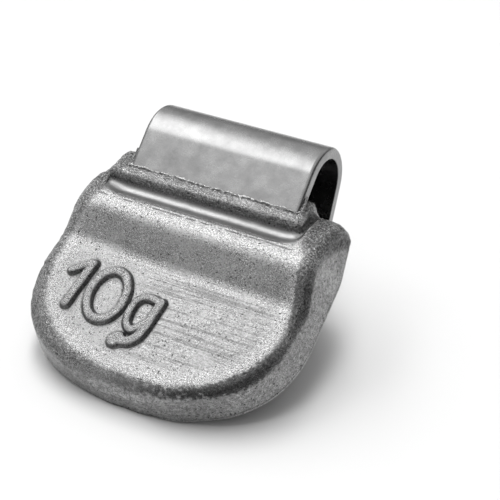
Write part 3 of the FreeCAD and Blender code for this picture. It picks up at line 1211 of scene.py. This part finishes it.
@dataclass(frozen=True)
class RaisedValue:
    """The weight's value in grams, raised on the face in strokes with rounded tops.

    Sizes are in millimetres; stroke points are (across, up) on the flat face.

    Attributes:
        height: How far the strokes stand out.
        sunk: How far they reach into the casting.
        flank: Shares of the face and of the depth in the slope of the strokes' flanks.
        crown: Width over which the tops are rounded off, and how strongly.
        edge_radius: Radius of the edge between top and flank.
        spacing: Distance between the points that they are worked out from.
    """

    height: float = 0.37
    sunk: float = 0.14
    flank: Pair = (0.89, 0.46)
    crown: Pair = (0.38, 0.35)
    edge_radius: float = 0.09
    spacing: float = 0.05

    def strokes(self) -> list[tuple[np.ndarray, float]]:
        """Draws the strokes.

        Returns:
            The middle line of each stroke with its half width.
        """
        turn = np.linspace(0, 2 * math.pi, 41)
        zero = np.column_stack([
            -3.68 + 1.42 * np.cos(turn) - 0.05 * np.sin(turn), -3.08 + 1.96 * np.sin(turn)])
        flag = np.array([(-7.3, -2.1), (-7.0, -1.86), (-6.55, -1.5), (-6.05, -1.15)])
        stem = np.array([(-5.9, -1.15), (-6.16, -2.9), (-6.42, -4.66)])
        bowl = self.smooth(((0.35, -2.4), (-0.4, -2.3), (-0.95, -2.45), (-1.34, -2.95), (-1.44, -3.85),
                            (-1.26, -4.6), (-0.72, -4.98), (-0.28, -4.66), (0.13, -4.17)))
        tail = self.smooth(((0.47, -2.42), (0.36, -3.51), (0.25, -4.55), (0.05, -5.3), (-0.42, -5.82),
                            (-1.1, -6.02)))
        blob = np.array([(-1.3, -5.9), (-1.5, -6.08)])
        return [(flag, 0.41), (stem, 0.46), (zero, 0.45), (bowl, 0.4), (tail, 0.46), (blob, 0.64)]

    @staticmethod
    def smooth(corners: tuple[Pair, ...], parts: int = 5) -> np.ndarray:
        """A smooth line through points.

        Args:
            corners: The points.
            parts: Runs between two points.

        Returns:
            The line's points.
        """
        given = np.array(corners)
        padded = np.vstack([2 * given[0] - given[1], given, 2 * given[-1] - given[-2]])
        line = []
        for i in range(len(given) - 1):
            p, q, r, s = padded[i:i + 4]
            for t in np.arange(parts) / parts:
                line.append(0.5 * (2 * q + (r - p) * t + (2 * p - 5 * q + 4 * r - s) * t * t
                                   + (3 * q - p - 3 * r + s) * t ** 3))
        return np.array([*line, given[-1]])

    def plan(self, places: np.ndarray) -> np.ndarray:
        """Distance to the strokes' outline on the face.

        Args:
            places: Places on the face, one a row.

        Returns:
            The distances, negative inside.
        """
        nearest = np.full(len(places), np.inf)
        for line, half in self.strokes():
            for start, end in zip(line, line[1:]):
                along = end - start
                share = np.clip((places - start) @ along / (along @ along), 0, 1)
                gap = np.linalg.norm(places - start - share[:, None] * along, axis=1) - half
                nearest = np.minimum(nearest, gap)
        return nearest

    def distance(self, points: np.ndarray) -> np.ndarray:
        """Distance to the raised strokes.

        Args:
            points: Places, one a row.

        Returns:
            The distances, negative inside.
        """
        across_share, depth_share = self.flank
        crown_width, crown_strength = self.crown
        plan = self.plan(points[:, [0, 2]]) * across_share - points[:, 1] * depth_share
        top = -points[:, 1] - self.height + crown_strength * np.maximum(plan + crown_width, 0) ** 2
        return np.maximum(rounded_edge(plan, top, self.edge_radius), points[:, 1] - self.sunk)

    def build(self, axes: BodyAxes, finish: CastZinc) -> bpy.types.Object:
        """Makes and dresses the raised value.

        Args:
            axes: Where the body's axes lie.
            finish: Its finish.

        Returns:
            The raised value.
        """
        low, high = (-8.3, -self.height - 0.2, -7.3), (1.5, self.sunk + 0.2, -0.3)
        points, quads = SurfaceNet(self.spacing, low, high, 3).build(self.distance)
        noise = LatticeNoise(seed=5)
        slope = SurfaceNet.gradient(points, self.distance)
        lift = 0.022 * noise.at(points, 0.45) + 0.016 * noise.at(points + 7.0, 0.17)
        raised = smooth_step(0.02, -0.1, points[:, 1])
        points = points + slope * (lift * raised)[:, None]
        piece = placed_mesh("raised_value", points, quads, axes)
        below_top = smooth_step(0.03 - self.height, 0.13 - self.height, points[:, 1])
        none, full = np.zeros(len(points)), np.ones(len(points))
        # On the strokes, painted shade on the flanks, wear and painted highlight on the tops
        store_masks(piece.data, {
            Mask.GRANULAR: 0.6 * full, Mask.WEAR_AND_HIGHLIGHT: 0.35 * (1 - below_top), Mask.HOLLOW_PAINTED_SHADE: 0.4 * below_top,
            Mask.COMBED: none, Mask.RIM: 0.65 * below_top, Mask.SKIN: none, Mask.RIM_PAINTED_SHADE: 0.35 * full,
            Mask.SEAM: full})
        piece.data.materials.append(finish.material())
        return piece


@dataclass(frozen=True)
class SpringClip:
    """The folded strip of spring steel, followed along its middle from the tang to the tail.

    Sizes are in millimetres and angles in radians.

    Attributes:
        width: Width of the strip.
        sheet: Thickness of the strip.
        bend_inner_radius: Inner radius of the fold.
        leg_spread: Angle of each leg to the fold's middle line.
        lean: Angle between the fold's middle line and the body's face.
        tang_length: Length of the front leg with its tang.
        rear_leg_length: Length of the rear leg.
        tail_bend_inner_radius: Inner radius of the tail's bend.
        tail_turn: Angle that the tail is bent out by.
        tail_length: Length of the tail past its bend.
        tail_corner_radius: Radius of the tail's corners.
        leg_top: Depth and height at which the front leg's outer side meets the fold.
        outer_edge_radius: Radius of the strip's edges on its outer side.
        inner_edge_radius: Radius of the strip's edges on its inner side.
        inset: How far the strip's sides and its faces are drawn in.
        hold: How far from each rounded edge a point keeps the flat beside it flat.
        stations: Points along the strip.
        sharp_angle: Angle above which an edge is drawn sharp.
    """

    width: float = 14.0
    sheet: float = 0.86
    bend_inner_radius: float = 2.2
    leg_spread: float = math.radians(11.0)
    lean: float = math.radians(25.6)
    tang_length: float = 8.75
    rear_leg_length: float = 7.35
    tail_bend_inner_radius: float = 1.6
    tail_turn: float = math.radians(32.0)
    tail_length: float = 2.3
    tail_corner_radius: float = 1.75
    leg_top: Pair = LEG_TOP
    outer_edge_radius: float = 0.24
    inner_edge_radius: float = 0.07
    inset: Pair = (0.01, 0.005)
    hold: float = 0.06
    stations: int = 260
    sharp_angle: float = math.radians(35.0)

    def section(self) -> bpy.types.Object:
        """Makes the strip's section.

        Returns:
            A closed line with rounded edges and a point close to each rounding.
        """
        half, low = self.width / 2 - self.inset[0], self.sheet / 2 - self.inset[1]
        line = []
        for side_x, side_y, start in ((1, 1, 0), (-1, 1, 1), (-1, -1, 2), (1, -1, 3)):
            radius = self.outer_edge_radius if side_y > 0 else self.inner_edge_radius
            centre = np.array([side_x * (half - radius), side_y * (low - radius)])
            angles = start * math.pi / 2 + np.linspace(0, math.pi / 2, 5)
            arc = [centre + radius * np.array([math.cos(a), math.sin(a)]) for a in angles]
            before = self.hold * np.array([math.sin(angles[0]), -math.cos(angles[0])])
            after = self.hold * np.array([-math.sin(angles[-1]), math.cos(angles[-1])])
            line += [arc[0] + before, *arc, arc[-1] + after]
        curve = bpy.data.curves.new("clip_section", "CURVE")
        spline = curve.splines.new("POLY")
        spline.points.add(len(line) - 1)
        for point, (x, y) in zip(spline.points, line):
            point.co = (x, y, 0, 1)
        spline.use_cyclic_u = True
        return linked_object("clip_section", curve)

    def inputs(self) -> dict[str, float]:
        """The tree's named inputs: sizes along the strip's middle."""
        half = self.sheet / 2
        return {
            "heading": math.pi / 2 + self.lean - self.leg_spread,
            "tang_length": self.tang_length,
            "bend_radius": self.bend_inner_radius + half,
            "bend_turn": math.pi - 2 * self.leg_spread,
            "rear_leg_length": self.rear_leg_length,
            "tail_bend_radius": self.tail_bend_inner_radius + half,
            "tail_turn": self.tail_turn,
            "tail_length": self.tail_length,
            "tail_corner_radius": self.tail_corner_radius,
            "half_width": self.width / 2,
        }

    @staticmethod
    def followed(share: Socket, value: dict[str, Socket]) -> tuple[Socket, Socket, Socket, Socket]:
        """Follows the strip's middle through its straight and bent runs.

        Args:
            share: How far along the strip a point lies, from 0 to 1.
            value: The tree's named inputs.

        Returns:
            The point's depth and height, its length along the strip, and the strip's whole length.
        """
        heading = value["heading"]
        turned_heading = heading - value["bend_turn"]
        bend, tail_bend = value["bend_radius"], value["tail_bend_radius"]
        # Each run: its length, its heading where it starts, its radius, and the side that it turns to
        runs = (
            (value["tang_length"], heading, None, 0.0),
            (bend * value["bend_turn"], heading, bend, 1.0),
            (value["rear_leg_length"], turned_heading, None, 0.0),
            (tail_bend * value["tail_turn"], turned_heading, tail_bend, -1.0),
            (value["tail_length"], turned_heading + value["tail_turn"], None, 0.0))
        whole = sum(length for length, *_ in runs)
        along = share * whole
        start, depth, up = 0.0, 0.0, 0.0
        for length, angle, radius, side in runs:
            ahead, aside = (along - start).between(0.0, length), 0.0
            if radius is not None:
                turned = ahead / radius
                ahead = radius * turned.sine()
                aside = radius * (1.0 - turned.cosine()) * side
            depth = angle.cosine() * ahead + angle.sine() * aside + depth
            up = angle.sine() * ahead - angle.cosine() * aside + up
            start = start + length
        return depth, up, along, whole

    def tree(self, finish: bpy.types.Material) -> tuple[bpy.types.NodeTree, dict[str, str]]:
        """Builds the tree that sweeps the section along the folded path.

        Args:
            finish: Material of the strip.

        Returns:
            The tree, and the identifier of each named input.
        """
        tree = bpy.data.node_groups.new("folded_strip", "GeometryNodeTree")
        made = NodeMaker(tree)
        tree.interface.new_socket("Section", in_out="INPUT", socket_type="NodeSocketGeometry")
        names = {}
        for name in self.inputs():
            socket = tree.interface.new_socket(name, in_out="INPUT", socket_type="NodeSocketFloat")
            names[name] = socket.identifier
        tree.interface.new_socket("Strip", in_out="OUTPUT", socket_type="NodeSocketGeometry")
        given = made.add("NodeGroupInput")
        value = {name: made.out(given, name) for name in names}
        # The path, with the length along it kept for the tail's corners
        line = made.add("GeometryNodeCurvePrimitiveLine", {"End": (1.0, 0.0, 0.0)})
        line = made.add("GeometryNodeResampleCurve", {"Curve": line, "Count": self.stations})
        share = made.out(made.add("GeometryNodeSplineParameter"), "Factor")
        depth, up, along, whole = self.followed(share, value)
        place = made.add("ShaderNodeCombineXYZ", {"Y": depth, "Z": up})
        path = made.add("GeometryNodeSetPosition", {"Geometry": line, "Position": place})
        captured = made.add("GeometryNodeCaptureAttribute")
        captured.capture_items.new("FLOAT", "along")
        tree.links.new(path.outputs[0], captured.inputs["Geometry"])
        tree.links.new(along.output, captured.inputs["along"])
        strip = made.add("GeometryNodeCurveToMesh", {
            "Curve": captured, "Profile Curve": made.out(given, "Section"), "Fill Caps": True})
        # The tail's rounded corners
        radius = value["tail_corner_radius"]
        into = (made.out(captured, "along") - (whole - radius)).between(0.0, radius)
        drawn_in = radius - (radius * radius - into * into).most(0.0).root()
        split = made.add("ShaderNodeSeparateXYZ", {0: made.add("GeometryNodeInputPosition")})
        x, y, z = (made.out(split, name) for name in "XYZ")
        narrowed = x.size().least(value["half_width"] - drawn_in) * x.sign()
        corner = made.add("ShaderNodeCombineXYZ", {"X": narrowed, "Y": y, "Z": z})
        strip = made.add("GeometryNodeSetPosition", {"Geometry": strip, "Position": corner})
        strip = made.add("GeometryNodeSetShadeSmooth", {0: strip})
        strip = made.add("GeometryNodeRealizeInstances", {0: strip})
        strip = made.add("GeometryNodeSetMaterial", {"Geometry": strip, "Material": finish})
        made.add("NodeGroupOutput", {0: strip})
        return tree, names

    def leg_ways(self) -> tuple[np.ndarray, np.ndarray]:
        """Directions up along the front leg and in from its outer side, as depth and height."""
        cos, sin = (way(self.inputs()["heading"]) for way in (math.cos, math.sin))
        return np.array([cos, sin]), np.array([sin, -cos])

    def inside(self, mesh: bpy.types.Mesh) -> np.ndarray:
        """Where the strip faces the inside of the fold.

        Args:
            mesh: The strip, with the start of its path at the origin.

        Returns:
            1 where it does and 0 where it doesn't, one a point.
        """
        ahead, inward = self.leg_ways()
        centre = self.tang_length * ahead + (self.bend_inner_radius + self.sheet / 2) * inward
        down = np.array([math.sin(self.lean), -math.cos(self.lean)])
        flat = point_vectors(mesh, "co")[:, 1:] - centre
        towards = np.maximum(flat @ down, 0)[:, None] * down - flat
        towards /= np.linalg.norm(towards, axis=1)[:, None]
        return smooth_step(0.4, 0.9, (towards * point_vectors(mesh, "normal")[:, 1:]).sum(1))

    def build(self, axes: BodyAxes, finish: SatinSteel) -> bpy.types.Object:
        """Makes and dresses the clip.

        Args:
            axes: Where the body's axes lie.
            finish: Its finish.

        Returns:
            The clip.
        """
        section = self.section()
        tree, names = self.tree(finish.material())
        modifier = section.modifiers.new("folded_strip", "NODES")
        modifier.node_group = tree
        for name, value in self.inputs().items():
            modifier[names[name]] = value
        graph = bpy.context.evaluated_depsgraph_get()
        mesh = bpy.data.meshes.new_from_object(
            section.evaluated_get(graph), preserve_all_data_layers=True, depsgraph=graph)
        section.modifiers.remove(modifier)
        bpy.data.objects.remove(section)
        # Where the inside of the fold gets painted shade
        store_masks(mesh, {Mask.INNER_PAINTED_SHADE: self.inside(mesh)})
        ahead, inward = self.leg_ways()
        start = np.array(self.leg_top) - self.tang_length * ahead + self.sheet / 2 * inward
        mesh.transform(axes.matrix() @ Matrix.Translation((0, *start)))
        mesh.set_sharp_from_angle(angle=self.sharp_angle)
        mesh.name = "spring_steel_clip"
        return linked_object("spring_steel_clip", mesh)


@dataclass(frozen=True)
class Studio:
    """Camera, light and floor.

    Attributes:
        aim: Point that the camera looks at, in millimetres.
        distance: Distance of the camera from it, in millimetres.
        azimuth: Angle of the camera round the object.
        elevation: Angle of the camera above the floor.
        roll: Turn of the camera about its own line of sight.
        lens: Focal length in millimetres.
        strip_way: Level direction that the bright strip in the surroundings is measured along.
        strip_shift: How far the strip lies from the middle, against that direction.
        strip_power: Brightness of the strip.
        box_size: Width and length of the box light in metres.
        box_place: Place of the box light in metres.
        box_power: Power of the box light.
        floor_reach: How far the floor reaches from the middle, in metres.
    """

    aim: Triple = (1.572, 5.724, 5.0)
    distance: float = 106.745
    azimuth: float = math.radians(28.852)
    elevation: float = math.radians(32.859)
    roll: float = math.radians(0.283)
    lens: float = 101.605
    strip_way: Triple = (0.966, 0.26, 0.0)
    strip_shift: float = 0.474
    strip_power: float = 4.1
    box_size: Pair = (0.06, 0.24)
    box_place: Triple = (-0.012, 0.02, 0.25)
    box_power: float = 0.55
    floor_reach: float = 1.5

    def camera(self) -> None:
        """Sets up the camera."""
        data = bpy.data.cameras.new("studio_camera")
        data.lens = self.lens
        data.sensor_fit = "HORIZONTAL"
        data.sensor_width = 36.0
        data.clip_start = 0.005
        data.clip_end = 10.0
        camera = linked_object("studio_camera", data)
        level, rise = math.cos(self.elevation), math.sin(self.elevation)
        back = Vector((math.sin(self.azimuth) * level, -math.cos(self.azimuth) * level, rise))
        turned = back.to_track_quat("Z", "Y").to_matrix() @ Matrix.Rotation(self.roll, 3, "Z")
        matrix = turned.to_4x4()
        matrix.translation = (Vector(self.aim) + back * self.distance) * MM
        camera.matrix_world = matrix
        bpy.context.scene.camera = camera

    def surroundings(self) -> None:
        """Sets up the light from all round: bright above, dark low in front, grey low behind."""
        world = bpy.data.worlds.new("studio_light")
        world.use_nodes = True
        bpy.context.scene.world = world
        made = NodeMaker(world.node_tree)
        direction = made.out(made.add("ShaderNodeTexCoord"), "Generated")
        split = made.add("ShaderNodeSeparateXYZ", {0: direction})
        x, y, z = (made.out(split, name) for name in "XYZ")
        front_to_back = y.ramp(-0.5, 0.7, 0.03, 0.4)
        left = (x * -1.0).ramp(0.5, 0.95, 0.0, 0.4)
        low = front_to_back.most(left) * x.ramp(0.3, 0.8, 1.0, 0.2)
        above = z.ramp(0.15, 0.65)
        overhead = x.ramp(0.3, 0.75, 1.0, 0.25)
        off_strip = (direction.dot(self.strip_way) + self.strip_shift).size()
        strip = off_strip.ramp(0.2, 0.02, 0.0, self.strip_power) * z.ramp(0.5, 0.75) * y.ramp(-0.46, -0.33)
        strength = low * (1 - above) + overhead * above + strip
        light = made.add("ShaderNodeBackground", {"Color": (1.0, 1.0, 1.0, 1.0), "Strength": strength})
        made.add("ShaderNodeOutputWorld", {0: light})
        bpy.context.scene.view_settings.view_transform = "Standard"

    def box_light(self) -> None:
        """Hangs the box light, which lights the floor and isn't mirrored in the metal."""
        data = bpy.data.lights.new("overhead_box", "AREA")
        data.shape = "RECTANGLE"
        data.size, data.size_y = self.box_size
        data.energy = self.box_power
        box = linked_object("overhead_box", data)
        box.location = self.box_place
        box.rotation_euler = (0.0, 0.0, self.azimuth)
        box.visible_glossy = False

    def floor(self, finish: PaleFloor) -> None:
        """Lays the floor.

        Args:
            finish: Its finish.
        """
        reach = self.floor_reach
        corners = [(-reach, -reach, 0), (reach, -reach, 0), (reach, reach, 0), (-reach, reach, 0)]
        mesh = bpy.data.meshes.new("studio_floor")
        mesh.from_pydata(corners, [], [(0, 1, 2, 3)])
        mesh.materials.append(finish.material())
        linked_object("studio_floor", mesh)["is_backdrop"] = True


def hand_over(piece: bpy.types.Object, slot: Slot, *nodes: str) -> None:
    """Ties a piece to its body and hides the CAD nodes that it stands for.

    Args:
        piece: The piece.
        slot: The record's material slot of the piece; not used.
        nodes: CAD nodes that it replaces.
    """
    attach(piece, ROOT_BODY)
    if nodes:
        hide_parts(*nodes)
    log.info("%s: %d points, %d faces", piece.name, len(piece.data.vertices), len(piece.data.polygons))


def main() -> None:
    logging.basicConfig(level=logging.INFO, format="%(name)s %(message)s")
    cad_low, cad_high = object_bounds()
    body = CastBody()
    axes = BodyAxes.from_record(frame["record"], body.thickness, body.seat_below_valley)
    zinc = CastZinc(axes)
    studio = Studio()
    studio.camera()
    studio.surroundings()
    studio.box_light()
    studio.floor(PaleFloor())
    value = RaisedValue()
    casting = body.build(axes, zinc, value)
    keep_inside(casting, cad_low, cad_high)
    hand_over(casting, Slot.CAST_ZINC, "cast_body")
    hand_over(value.build(axes, zinc), Slot.CAST_ZINC)
    clip = SpringClip().build(axes, SatinSteel())
    keep_inside(clip, cad_low, cad_high)
    hand_over(clip, Slot.SPRING_STEEL, "spring_clip")


if __name__ == "__main__":
    main()
